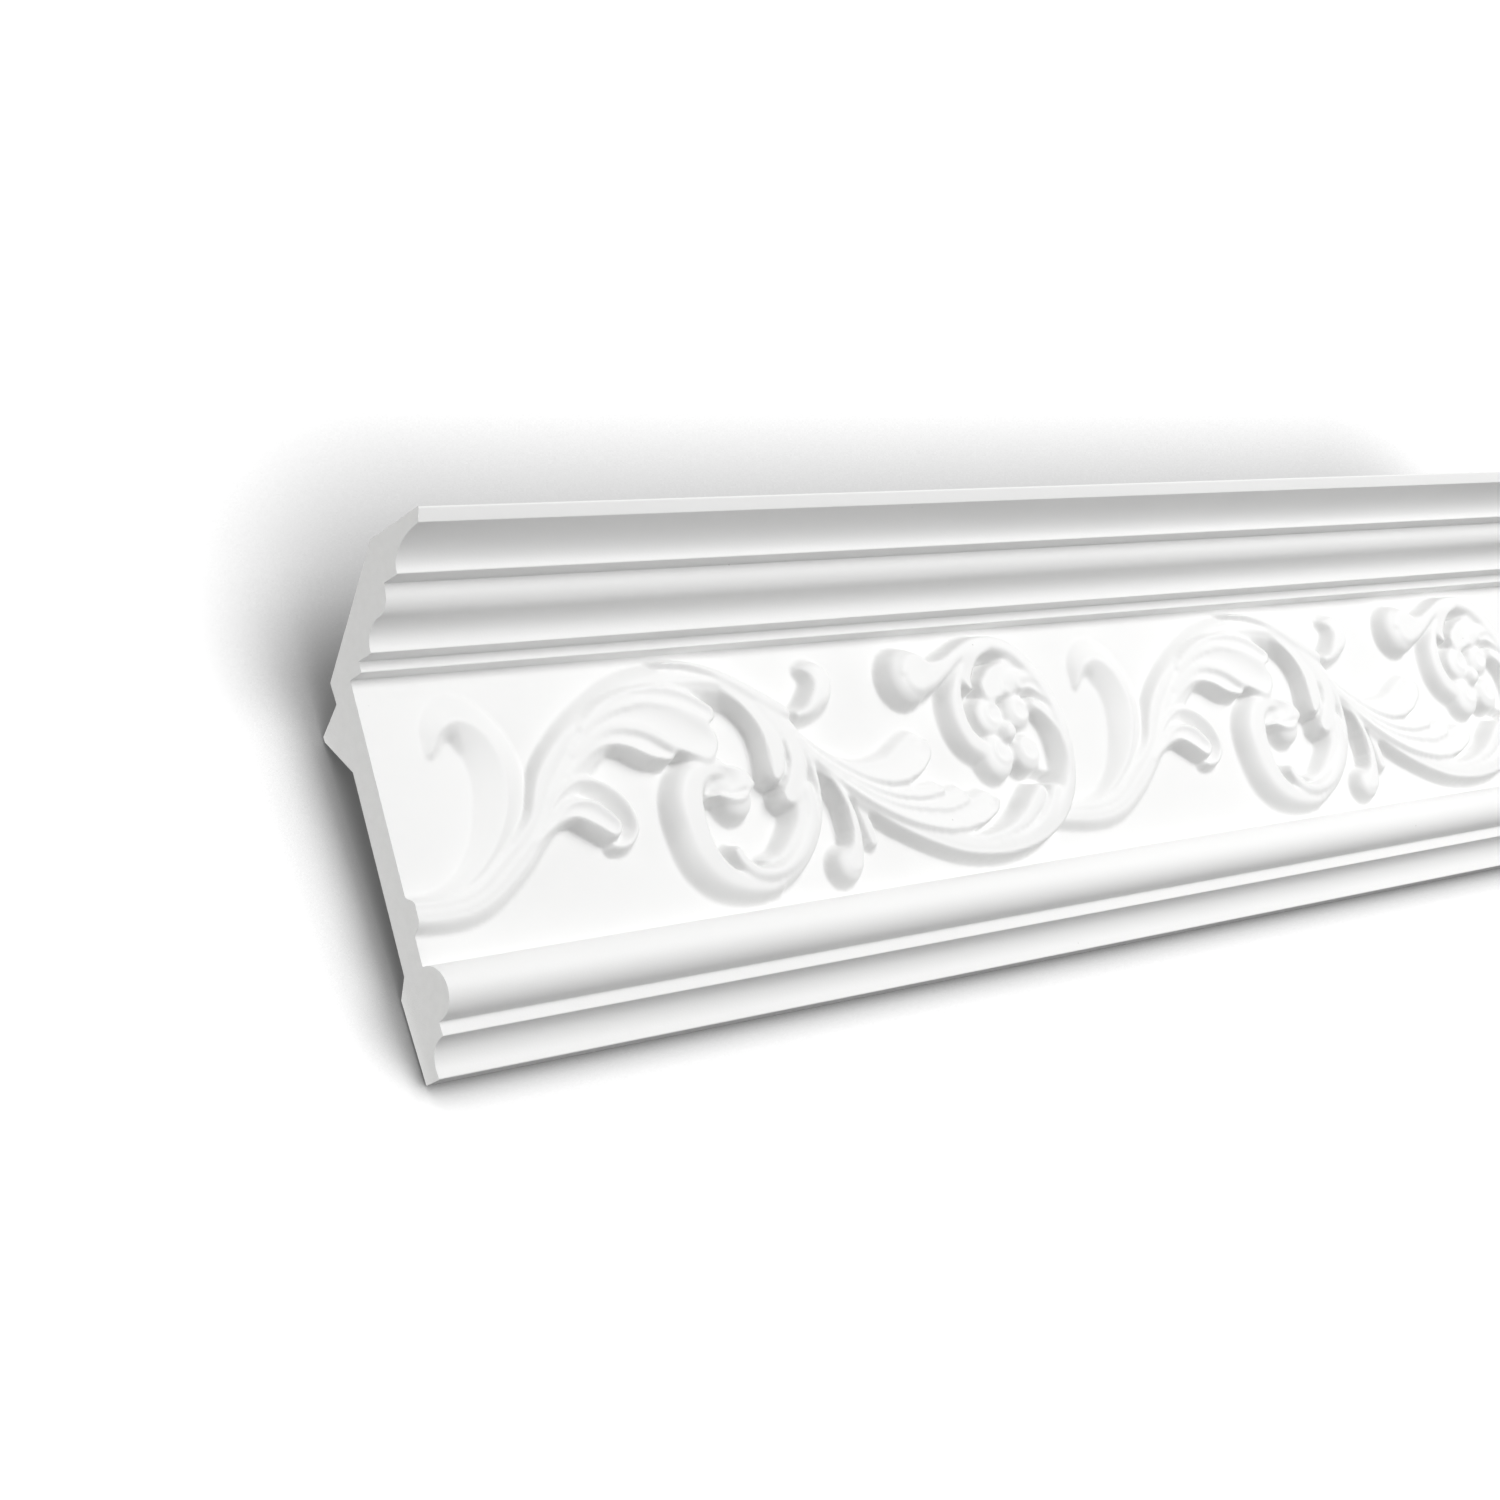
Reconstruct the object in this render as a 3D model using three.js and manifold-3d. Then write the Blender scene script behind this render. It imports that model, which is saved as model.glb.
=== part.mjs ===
// A cornice moulding, cast in one piece: a run of steps, coves and a bead under a ceiling,
// with a leaning frieze that carries a running scroll of leaves. Millimetres, +Z up.
// X runs along the wall, the wall is the plane y = 0 behind the moulding, and the origin
// is in the middle of the strip that is glued to the wall.
import * as THREE from 'three';
import { mergeVertices } from 'three/addons/utils/BufferGeometryUtils.js';
import Module from 'manifold-3d';

// The length shown, and the length of one repeat of the scroll.
const length = 600;
const repeat = 286;

// The profile from the ceiling down. A reach is measured out from the wall, a drop downwards.
const ceilingFace = 23;
const lipDrop = 4;
const lipLean = 2.2;
const coveReach = 14.4;
const coveDrop = 8.9;
const coveStep = 6.4;
const ovoloReach = 6;
const ovoloDrop = 7.5;
const ogeeReach = 7.7;
const ogeeDrop = 7.5;
const ogeeStep = 6.2;
const filletDrop = 3.3;
const friezeStep = 5.6;
const friezeDrop = 81.8;
const friezeLean = 5.4;
const beadRadius = 7.8;
const beadFilletDrop = 4.1;
const footReach = 7;
const footDrop = 7.8;
const footThickness = 6;
const footNose = 2.5;

// The hollow back: a strip flat on the wall, the shell behind the frieze, and a heel.
const wallStrip = 24.5;
const shell = 8.8;
const shellRamp = 5.6;
const heelBelowLip = 37;
const heelFlat = 1.6;
const heelRamp = 12;
const notchDepth = 9.7;
const notchRise = 6;
const notchHeight = 6.4;

// The scroll stands on the frieze. It is drawn on a field of one repeat by one frieze,
// and its relief is what the highest leaf stands proud.
const drawnRepeat = 286;
const drawnFrieze = 82;
const drawnRelief = 12;
const relief = 12;
const rootDepth = 1.5;

// The section of a leaf has two shoulders, given in half widths and heights of the leaf, and
// its crest moves by a share of what the leaf asks for. The tip is a last, smaller ring.
const shoulderAcross = 0.82;
const shoulderUp = 0.8;
const crestShare = 0.5;
const tipReach = 0.7;
const tipWidth = 0.55;
const tipHeight = 0.8;

const arcSteps = 7;
const stepsPerStation = 1.05;
const domeSides = 10;
const domeBands = 6;
const weldGap = 1e-4;
const whitePrimer = new THREE.MeshStandardMaterial({ color: 0xf1f1ef, roughness: 0.62, metalness: 0 });

const wasm = await Module();
wasm.setup();

// Turns a closed three.js geometry into a solid that can be joined and cut.
function toSolid(geometry) {
  const bare = geometry.index ? geometry.toNonIndexed() : geometry.clone();
  bare.deleteAttribute('normal');
  bare.deleteAttribute('uv');
  const merged = mergeVertices(bare, weldGap);
  return new wasm.Manifold(new wasm.Mesh({
    numProp: 3,
    vertProperties: Float32Array.from(merged.attributes.position.array),
    triVerts: Uint32Array.from(merged.index.array),
  }));
}

// Turns a solid back into a three.js geometry.
function toGeometry(solid) {
  const mesh = solid.getMesh();
  const geometry = new THREE.BufferGeometry();
  geometry.setAttribute('position', new THREE.BufferAttribute(Float32Array.from(mesh.vertProperties), 3));
  geometry.setIndex(new THREE.BufferAttribute(Uint32Array.from(mesh.triVerts), 1));
  geometry.computeVertexNormals();
  return geometry;
}

// The places that the profile and the scroll share, as (y, z) with the wall strip about z = 0.
function profilePlaces() {
  const underFrieze = 2 * beadRadius + beadFilletDrop + footDrop + footNose;
  const bottom = -wallStrip / 2;
  const friezeFoot = new THREE.Vector2(-footThickness - footReach, bottom + underFrieze);
  const friezeHead = friezeFoot.clone().add(new THREE.Vector2(-friezeLean, friezeDrop));
  const mouldingsReach = friezeStep + ogeeStep + ogeeReach + ovoloReach + coveStep + coveReach + lipLean;
  const mouldingsDrop = filletDrop + ogeeDrop + ovoloDrop + coveDrop + lipDrop;
  const lip = friezeHead.clone().add(new THREE.Vector2(-mouldingsReach, mouldingsDrop));
  return { bottom, friezeFoot, friezeHead, lip };
}

// The outline of the cross-section, walked from the ceiling down the front and up the back.
function profileOutline({ bottom, friezeFoot, friezeHead, lip }) {
  const shape = new THREE.Shape();
  const at = lip.clone();
  const lineBy = (dy, dz) => {
    at.add(new THREE.Vector2(dy, dz));
    shape.lineTo(at.x, at.y);
  };
  // A hollow quarter starts level and ends upright, a swelling quarter the other way round.
  const hollowQuarter = (reach, drop) => {
    shape.absellipse(at.x, at.y - drop, reach, drop, Math.PI / 2, 0, true);
    at.add(new THREE.Vector2(reach, -drop));
  };
  const swellingQuarter = (reach, drop) => {
    shape.absellipse(at.x + reach, at.y, reach, drop, Math.PI, 1.5 * Math.PI, false);
    at.add(new THREE.Vector2(reach, -drop));
  };
  shape.moveTo(lip.x + ceilingFace, lip.y);
  shape.lineTo(lip.x, lip.y);
  lineBy(lipLean, -lipDrop);
  hollowQuarter(coveReach, coveDrop);
  lineBy(coveStep, 0);
  swellingQuarter(ovoloReach, ovoloDrop);
  hollowQuarter(ogeeReach, ogeeDrop);
  lineBy(ogeeStep, 0);
  lineBy(0, -filletDrop);
  lineBy(friezeStep, 0);
  lineBy(friezeLean, -friezeDrop);
  shape.absarc(at.x, at.y - beadRadius, beadRadius, Math.PI / 2, 1.5 * Math.PI, false);
  at.y -= 2 * beadRadius;
  lineBy(0, -beadFilletDrop);
  hollowQuarter(footReach, footDrop);
  lineBy(0, -footNose);
  shape.lineTo(0, bottom);
  // The back of the shell stays parallel with the frieze.
  const backAt = (z) => {
    const share = (z - friezeFoot.y) / (friezeHead.y - friezeFoot.y);
    return THREE.MathUtils.lerp(friezeFoot.x, friezeHead.x, share) + shell;
  };
  const stripTop = bottom + wallStrip;
  const heelTop = lip.y - lipDrop - heelBelowLip;
  const heelFoot = heelTop - heelFlat;
  shape.lineTo(0, stripTop);
  shape.lineTo(backAt(stripTop + shellRamp), stripTop + shellRamp);
  shape.lineTo(backAt(heelFoot - heelRamp), heelFoot - heelRamp);
  shape.lineTo(0, heelFoot);
  shape.lineTo(0, heelTop);
  shape.lineTo(-notchDepth, heelTop + notchRise);
  shape.lineTo(-notchDepth, heelTop + notchRise + notchHeight);
  shape.closePath();
  return shape;
}

// An extrusion along Z is turned to run along X, with its outline in the (y, z) plane.
function alongWall(shape) {
  const geometry = new THREE.ExtrudeGeometry(shape,
    { depth: length, bevelEnabled: false, curveSegments: arcSteps });
  geometry.applyMatrix4(new THREE.Matrix4().makeBasis(
    new THREE.Vector3(0, 1, 0), new THREE.Vector3(0, 0, 1), new THREE.Vector3(1, 0, 0)));
  geometry.translate(-length / 2, 0, 0);
  return geometry;
}

// Each leaf is a row of stations: along the repeat, down the frieze, half width, height.
// crest moves the ridge from the middle (0) towards the right hand of the direction of
// growth (1) or the left (-1).
const leaves = {
  stem: {
    stations: [[-8, 66.8, 4.55, 3.4], [10, 68.4, 4.95, 3.6], [24, 66.3, 5.35, 3.8], [38, 58.3, 5.95, 4],
      [50.8, 48.7, 5.55, 4], [60.5, 37.4, 8.55, 4.2], [71, 27.8, 8.95, 4.5], [83, 19.8, 8.75, 5],
      [97, 13.4, 8.55, 5.6], [111, 10.4, 7.55, 6.4], [125, 10.8, 6.55, 7.2], [137, 14, 5.75, 7.7],
      [147.5, 20, 5.35, 7.9], [155.4, 27.4, 4.75, 8], [160.2, 36, 3.95, 8], [162, 45, 2.95, 7.7],
      [160.8, 54, 2.95, 7.3], [156, 63, 3.35, 6.6], [148, 70, 3.75, 5.9], [138, 74.6, 3.55, 5.2]],
  },
  hookLeaf: {
    crest: -0.05,
    stations: [[-8, 64.3, 1.75, 2.8], [8, 64.7, 2.15, 3.2], [20, 61.5, 3.15, 3.6], [31.5, 53.6, 5.75, 4.3],
      [39.4, 43, 8.35, 4.9], [42.8, 31, 9.35, 5], [39.5, 20.4, 8.55, 4.8], [32, 14.6, 7.75, 4.4],
      [25, 16.4, 5.15, 3.6], [20.6, 23, 1.35, 1.8]],
  },
  budOuter: {
    crest: -0.6,
    stations: [[48.3, 52.3, 1.35, 4.2], [55.5, 46, 2.35, 5], [61.5, 41.1, 3.35, 5.6],
      [68.7, 38.4, 3.75, 5.8], [76.4, 40.1, 3.75, 5.6], [82.5, 45.1, 3.95, 5.4], [84.9, 51, 3.75, 5],
      [82, 55, 3.15, 4.9], [78.1, 56, 2.35, 4.8]],
  },
  budInner: {
    stations: [[48.3, 52.8, 1, 4.2], [53.5, 49.4, 1.55, 5], [59.1, 46.2, 2.55, 5.8], [65, 44.9, 3.55, 6.3],
      [71, 46.9, 4.55, 6.5], [76.6, 51.1, 3.95, 6.4]],
  },
  upperLeafOne: {
    stations: [[74.8, 21.1, 1.75, 5.6], [82.2, 17, 2.75, 6.2], [90.4, 14.4, 3.15, 6.9],
      [99.8, 13.5, 3.35, 7.4], [109.4, 14.5, 3.55, 7.7], [117.3, 17.1, 3.75, 7.7],
      [124.2, 20.9, 3.55, 7.7]],
  },
  upperLeafTwo: {
    stations: [[69.5, 28, 1.75, 4.9], [76.9, 23.1, 2.95, 5.5], [84.2, 19.8, 4.15, 6.1],
      [92.6, 19.1, 5.15, 6.7], [101.1, 20.6, 6.35, 7.1], [110.2, 24.7, 7.55, 7.3],
      [119.5, 29.1, 6.75, 7.3]],
  },
  upperLeafThree: {
    stations: [[65.8, 34.9, 1.35, 4.6], [72.4, 29.8, 1.95, 5], [78.6, 25.8, 2.95, 5.8],
      [85, 24.3, 3.95, 6.3], [92, 25.1, 4.95, 6.7], [98.9, 28, 5.55, 6.9], [104.4, 30.4, 4.35, 6.8]],
  },
  outerFinger: {
    stations: [[111.3, 3.8, 1.15, 6.8], [120.6, 4.7, 1.75, 7.4], [130, 7.6, 2.35, 7.9],
      [138.4, 11.7, 2.75, 8.3], [147.2, 16.7, 3.15, 8.4], [156.5, 22.1, 3.15, 8.4]],
  },
  topCurl: {
    stations: [[162, 24.2, 2.75, 7.4], [167.6, 23.4, 3.15, 6.8], [173.4, 20.6, 4.55, 6.4],
      [178.4, 16.6, 5.75, 5.8], [179.6, 12.4, 5.55, 5.2], [177, 9.6, 3.75, 4.6], [173.4, 8.8, 1.55, 3.4]],
  },
  innerFingerOne: {
    stations: [[132.8, 13.9, 1.55, 7.4], [137.6, 16.5, 2.75, 7.6], [142.6, 20.9, 3.55, 7.7],
      [146.3, 26.6, 4.15, 7.8], [147.9, 32.6, 4.55, 7.8], [147.5, 39, 4.15, 7.8], [146.1, 42.5, 2.95, 7.6]],
  },
  innerFingerTwo: {
    stations: [[145.7, 19.6, 1.75, 8], [151.6, 25.6, 2.75, 8], [155.5, 32.6, 3.75, 8],
      [156, 39.6, 4.35, 7.9], [153.6, 45.5, 4.75, 7.6], [149.9, 49, 4.15, 7.2]],
  },
  voluteArm: {
    stations: [[139, 76, 2.35, 4.8], [132, 76.2, 3.15, 5], [123, 74.5, 4.35, 5.4], [114.8, 70.5, 5.55, 5.8],
      [109.4, 64, 6.35, 6.2], [107.4, 55, 6.55, 6.4], [108, 46.4, 6.55, 6.5], [111.8, 39.8, 5.55, 6.5],
      [117.4, 37, 4.35, 6.5], [124, 37, 3.95, 6.5]],
  },
  eyeLobe: {
    stations: [[134, 44.1, 2.95, 7.4], [129.8, 42.1, 4.75, 7.5], [124.3, 41.4, 5.35, 7],
      [120.4, 43.1, 3.95, 5.6], [118, 45.7, 1.55, 3.6]],
  },
  eyeRim: {
    stations: [[116.8, 47.2, 1, 4], [118.4, 46.2, 1.15, 6], [121, 46.4, 1.35, 7.4], [124.5, 47.8, 1.45, 8],
      [128.5, 48.4, 1.45, 8.2], [132.3, 46.6, 1.25, 8.1], [134.6, 43.6, 1, 7.8]],
  },
  bowlFinger: {
    stations: [[157.9, 47.6, 2.95, 8], [157, 56.5, 3.15, 7.6], [152.5, 63.4, 3.15, 7.1],
      [145.9, 68.8, 2.95, 6.8], [138.3, 71.7, 2.55, 6.5], [130.6, 71.3, 2.55, 6.3],
      [125.1, 67.8, 2.75, 6.2], [122.9, 64, 2.75, 6.1]],
  },
  bowlLeaf: {
    stations: [[154.4, 50.4, 4.35, 7.2], [152.5, 58.3, 4.95, 6.6], [147.5, 63.8, 4.55, 5.8],
      [141, 67.4, 2.95, 4.8], [134.7, 67.6, 1.55, 3.8]],
  },
  dropLeaf: {
    stations: [[167.2, 37.6, 1.35, 6], [171.4, 45.2, 1.95, 6.1], [174.8, 52.8, 2.25, 6.1],
      [175.8, 60.2, 2.55, 6.1], [174.4, 67.2, 3.15, 6.1], [171.8, 72.2, 4.15, 6.1]],
  },
  thornLeaf: {
    stations: [[173.2, 41.5, 1, 4.4], [177, 46.8, 1.25, 4.2], [180.6, 53.4, 1.85, 3.8],
      [183.5, 60.1, 2.55, 3.4], [184.9, 66, 2.55, 3]],
  },
  fanLeafOne: {
    stations: [[157.9, 28.5, 1.75, 7.6], [167.3, 34.2, 1.75, 6.2], [178.1, 39.9, 2.35, 5.4],
      [189.5, 43.6, 3.75, 5], [200.5, 44.2, 5.75, 4.9], [209.2, 41.7, 7.15, 4.7], [214.7, 38.9, 6.75, 4.3]],
  },
  fanLeafTwo: {
    stations: [[160.3, 31.8, 1.75, 7.2], [169.7, 38.2, 1.75, 5.8], [182.4, 45.2, 1.95, 5.1],
      [194.6, 49.8, 2.55, 4.8], [206.8, 52.1, 2.95, 4.6], [220.1, 52.2, 2.75, 4.2]],
  },
  fanLeafThree: {
    stations: [[161.5, 34.4, 1.75, 7], [170.9, 40.5, 1.75, 5.6], [184.5, 48.6, 1.95, 5],
      [197.7, 53.9, 2.55, 4.7], [210.7, 56.3, 2.95, 4.6], [221.9, 56.5, 3.75, 4.4],
      [229.8, 55.4, 3.55, 4.1]],
  },
  fanLeafFour: {
    stations: [[162.7, 36.8, 1.75, 6.8], [171.7, 42.8, 1.75, 5.8], [183.6, 51.4, 2.15, 5.8],
      [195.6, 57.5, 2.75, 5.7], [207.6, 61.3, 3.55, 5.6], [220.6, 62.9, 4.75, 5.5], [233.1, 61.8, 5.75, 5],
      [241.5, 59.5, 5.15, 4.6]],
  },
  ringStem: {
    stations: [[163, 38.4, 2.35, 6.4], [172, 45, 2.95, 5.4], [184, 52.6, 3.55, 5], [197, 60, 4.25, 4.9],
      [210.6, 66.4, 4.65, 5], [225, 71.6, 4.75, 5.4], [240, 73.8, 4.75, 6], [252, 73.4, 4.75, 6.6],
      [262, 71, 4.95, 7.4], [271, 66.2, 5.15, 8.4], [277.2, 59, 5.05, 9.6], [280.6, 50, 4.75, 10.6],
      [281, 41, 4.55, 11.2], [280.6, 33.4, 4.55, 11], [278.4, 25.4, 4.55, 10.4], [274.4, 17.8, 4.55, 9.8],
      [268.4, 11, 4.55, 9], [261, 7.8, 4.25, 8.2], [252, 7.6, 4.05, 7.6], [243, 10.6, 3.95, 7.4],
      [235, 14.2, 4.55, 7.3], [227.6, 16, 6.15, 7.5], [221, 15.4, 8.55, 8]],
  },
  ringCrescent: {
    stations: [[246, 12.4, 2.75, 6.8], [241.4, 17, 3.55, 6.4], [238, 24, 4.55, 6], [237.8, 32, 4.75, 5.8],
      [240.8, 38.4, 4.75, 5.6], [246, 42.4, 4.55, 5.4]],
  },
  hoodLeafOne: {
    stations: [[258.3, 8.2, 2.15, 8], [251.6, 10, 2.95, 7.8], [247.4, 13.8, 3.35, 7.2],
      [245.7, 18, 2.75, 6.8], [246.7, 21.1, 1.75, 6.6]],
  },
  hoodLeafTwo: {
    stations: [[270.6, 14.5, 3.15, 7.6], [265.4, 17, 4.55, 7], [260, 19.7, 5.95, 6.6],
      [255.8, 21.7, 5.15, 6.4]],
  },
  hoodLeafThree: {
    stations: [[275.3, 20.3, 2.15, 9.4], [270.7, 19.6, 3.15, 8.8], [266.8, 21, 4.15, 8],
      [264.2, 23, 3.35, 7.2]],
  },
  ringFingerOne: {
    stations: [[283.1, 48.3, 1, 11.4], [283.3, 40.3, 1.45, 11.4], [280.8, 32.6, 2.15, 11.2],
      [276.8, 25.9, 2.85, 10.6], [272.9, 22.4, 3.15, 9.8], [269.7, 22.4, 3.05, 9]],
  },
  ringFingerTwo: {
    stations: [[280.1, 53.1, 1.55, 10.6], [280, 45.2, 2.15, 11.2], [278.7, 37.6, 2.45, 11],
      [275.7, 32.1, 2.85, 10.4], [272.7, 29.3, 2.75, 9.6]],
  },
  footFingerOne: {
    stations: [[235, 70.8, 1.55, 5.9], [246.2, 69.7, 2.55, 6.5], [255.5, 66.4, 3.55, 7],
      [262.3, 61.5, 4.15, 7.6], [265.4, 58.6, 3.75, 7.8]],
  },
  footFingerTwo: {
    stations: [[240.6, 72.8, 1.75, 6.2], [252.8, 71.8, 2.35, 6.8], [262.5, 68.4, 2.95, 7.8],
      [269.2, 63.1, 3.55, 8.4], [272, 58.9, 3.55, 8.6]],
  },
};

// Round swellings, the petals of the flower among them: along the repeat, down the frieze,
// radius, height.
const swellings = [[219, 14.9, 10.4, 7.6], [128.8, 47.6, 7.4, 6.6], [169.8, 72.8, 6.6, 5.8],
  [142.5, 28, 15, 1.8], [253.2, 31.2, 8, 5.4], [267.6, 30.8, 7.8, 5.6], [252.6, 45, 8.6, 5.1],
  [267.4, 45.4, 8, 5.4], [259.4, 37, 4.4, 7.4]];

// The cross-section of a leaf, as (across in half widths, height in leaf heights).
const leafSection = (crest) => [
  [-shoulderAcross, shoulderUp],
  [crestShare * crest, 1],
  [shoulderAcross, shoulderUp],
];

// Places a point of the drawing on the frieze: x along the wall, then down and out.
function friezePlacer({ friezeFoot, friezeHead }) {
  const down = friezeFoot.clone().sub(friezeHead);
  const tall = down.length();
  down.normalize();
  const out = new THREE.Vector2(down.y, -down.x);
  return (along, across, height, copy) => {
    const lift = height * relief / drawnRelief;
    const fall = across * tall / drawnFrieze;
    const place = friezeHead.clone().addScaledVector(down, fall).addScaledVector(out, lift);
    return new THREE.Vector3(along * repeat / drawnRepeat + copy * repeat - length / 2, place.x, place.y);
  };
}

// Rings of equal count are joined side by side and closed by a fan over each end.
function loftRings(rings) {
  const count = rings[0].length;
  const positions = rings.flat().flatMap((point) => point.toArray());
  const index = [];
  for (let ring = 0; ring + 1 < rings.length; ring += 1) {
    for (let side = 0; side < count; side += 1) {
      const a = ring * count + side;
      const b = ring * count + (side + 1) % count;
      index.push(a, b, a + count, b, b + count, a + count);
    }
  }
  const last = (rings.length - 1) * count;
  for (let side = 1; side + 1 < count; side += 1) {
    index.push(0, side + 1, side);
    index.push(last, last + side, last + side + 1);
  }
  const geometry = new THREE.BufferGeometry();
  geometry.setAttribute('position', new THREE.Float32BufferAttribute(positions, 3));
  geometry.setIndex(index);
  return geometry;
}

// One leaf: a section carried along a smooth curve through its stations, with a rounded tip.
function leafSolid({ stations, crest = 0 }, place, copy) {
  const spine = new THREE.CatmullRomCurve3(
    stations.map(([along, down]) => new THREE.Vector3(along, down, 0)),
    false, 'catmullrom', 0.5);
  const size = new THREE.CatmullRomCurve3(
    stations.map(([, , wide, high]) => new THREE.Vector3(wide, high, 0)),
    false, 'catmullrom', 0.5);
  const steps = Math.round(stepsPerStation * (stations.length - 1));
  const section = leafSection(crest);
  const ringAt = (centre, side, wide, high) => [
    place(centre.x - side.x * wide, centre.y - side.y * wide, -rootDepth, copy),
    ...section.map(([across, up]) =>
      place(centre.x + side.x * wide * across, centre.y + side.y * wide * across, high * up, copy)),
    place(centre.x + side.x * wide, centre.y + side.y * wide, -rootDepth, copy),
  ];
  const rings = [];
  for (let step = 0; step <= steps; step += 1) {
    const t = step / steps;
    const tangent = spine.getTangent(t);
    const side = new THREE.Vector3(-tangent.y, tangent.x, 0);
    const { x: wide, y: high } = size.getPoint(t);
    rings.push(ringAt(spine.getPoint(t), side, wide, high));
    if (step === steps) {
      const tip = spine.getPoint(t).addScaledVector(tangent, tipReach * wide);
      rings.push(ringAt(tip, side, tipWidth * wide, tipHeight * high));
    }
  }
  return toSolid(loftRings(rings));
}

// One round swelling: a flattened dome of few facets.
function swellingSolid([along, down, radius, height], place, copy) {
  const dome = new THREE.SphereGeometry(1, domeSides, domeBands);
  const spot = dome.attributes.position;
  for (let index = 0; index < spot.count; index += 1) {
    const point = place(along + radius * spot.getX(index), down + radius * spot.getZ(index),
      spot.getY(index) * (spot.getY(index) > 0 ? height : rootDepth), copy);
    spot.setXYZ(index, point.x, point.y, point.z);
  }
  return toSolid(dome);
}

const places = profilePlaces();
const place = friezePlacer(places);
const body = toSolid(alongWall(profileOutline(places)));

let scroll = null;
const copies = Math.ceil(length / repeat);
for (let copy = -1; copy < copies; copy += 1) {
  const pieces = [
    ...Object.values(leaves).map((leaf) => leafSolid(leaf, place, copy)),
    ...swellings.map((swelling) => swellingSolid(swelling, place, copy)),
  ];
  for (const piece of pieces) {
    scroll = scroll ? scroll.add(piece) : piece;
  }
}

// What the end cuts take off: the scroll is kept only between the two end planes.
const between = new THREE.BoxGeometry(length, 2 * repeat, 2 * repeat);
const moulding = body.add(scroll.intersect(toSolid(between)));

const cornice = new THREE.Mesh(toGeometry(moulding), whitePrimer);
cornice.name = 'cornice_moulding';

const part = new THREE.Group();
part.add(cornice);

export default part;
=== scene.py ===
# %% [markdown]
# # A cornice moulding with a running scroll
#
# One length of cast moulding: steps, coves and a bead under a ceiling, and between them a
# leaning frieze that carries a carved scroll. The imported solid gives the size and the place.
# Here the same casting gets its fine carving, its primer and a soft white studio.

# %% The frame
import math

import bpy
import numpy as np
from mathutils import Matrix, Vector


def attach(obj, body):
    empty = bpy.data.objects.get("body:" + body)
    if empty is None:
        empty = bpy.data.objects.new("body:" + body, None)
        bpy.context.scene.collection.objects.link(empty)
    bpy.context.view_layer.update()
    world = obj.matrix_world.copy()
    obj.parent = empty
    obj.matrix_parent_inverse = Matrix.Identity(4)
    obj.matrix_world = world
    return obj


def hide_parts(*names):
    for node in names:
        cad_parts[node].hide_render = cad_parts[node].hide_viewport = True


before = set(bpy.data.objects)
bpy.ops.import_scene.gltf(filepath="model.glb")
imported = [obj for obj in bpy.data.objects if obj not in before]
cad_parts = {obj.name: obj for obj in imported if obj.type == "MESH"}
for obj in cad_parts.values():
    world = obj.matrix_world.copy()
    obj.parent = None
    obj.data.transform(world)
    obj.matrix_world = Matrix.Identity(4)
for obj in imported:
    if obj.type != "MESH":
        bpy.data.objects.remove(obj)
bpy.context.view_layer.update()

# %% [markdown]
# ## Camera
#
# The photograph looks up at the moulding from below and from its left end, with the camera
# rolled a little. The place was solved from the vanishing points of the long edges and from
# the corners of the cut end. A fixed matrix keeps it, because a look-at helper has no roll.

# %% Camera
def photo_camera():
    """Builds the camera from its right, up and back unit vectors and its place in metres.

    Each row of its matrix holds one coordinate of the three vectors and of the place.
    """
    lens = bpy.data.cameras.new("photo_camera")
    lens.lens = 74.04
    lens.sensor_width = 36.0
    lens.clip_end = 60.0
    camera = bpy.data.objects.new("photo_camera", lens)
    right = (0.70342, -0.64322, -0.30243)
    up = (0.08098, -0.35020, 0.93317)
    back = (-0.70614, -0.68090, -0.19425)
    place = (-0.8243, -0.6613, -0.1168)
    camera.matrix_world = Matrix([*zip(right, up, back, place), (0, 0, 0, 1)])
    bpy.context.scene.collection.objects.link(camera)
    bpy.context.scene.camera = camera
    return camera


camera = photo_camera()
print("camera at", tuple(round(v, 4) for v in camera.location))

# %% [markdown]
# ## Sizes of the profile
#
# The cross-section fits between a wall and a ceiling. From the top it has a lip, a cove, a
# level step, an ovolo that runs into an ogee, a fillet, the leaning frieze, a bead, and a foot
# with a cavetto. Behind it are a wall strip, a hollow, a heel, and a notch above the heel.
# Drops, rises and heights are measured along the wall, and the other sizes out from it.

# %% Profile sizes, in millimetres
MM = 0.001
LENGTH, REPEAT = 600.0, 286.0
CEILING_FACE = 23.0
LIP_DROP, LIP_LEAN = 4.0, 2.2
COVE_REACH, COVE_DROP, COVE_STEP = 14.4, 8.9, 6.4
OVOLO_REACH, OVOLO_DROP = 6.0, 7.5
OGEE_REACH, OGEE_DROP, OGEE_STEP = 7.7, 7.5, 6.2
FILLET_DROP, FRIEZE_STEP = 3.3, 5.6
FRIEZE_DROP, FRIEZE_LEAN = 81.8, 5.4
BEAD_RADIUS, BEAD_FILLET = 7.8, 4.1
FOOT_REACH, FOOT_DROP, FOOT_THICKNESS, FOOT_NOSE = 7.0, 7.8, 6.0, 2.5
STRIP_HEIGHT, SHELL, HOLLOW_RISE = 24.5, 8.8, 5.6
HEEL_DROP, HEEL_HEIGHT, HEEL_RISE = 37.0, 1.6, 12.0
NOTCH_DEPTH, NOTCH_RISE, NOTCH_HEIGHT = 9.7, 6.0, 6.4
print("a run of", LENGTH, "mm has", round(LENGTH / REPEAT, 2), "repeats")

# %% [markdown]
# ## Curves of the profile
#
# The section is a row of straight faces and quarter ellipses, as a plasterer's zinc template
# would be filed. Every corner gets a half-millimetre arc, because primer never leaves a knife
# edge and the arc is what catches the light.

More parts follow.
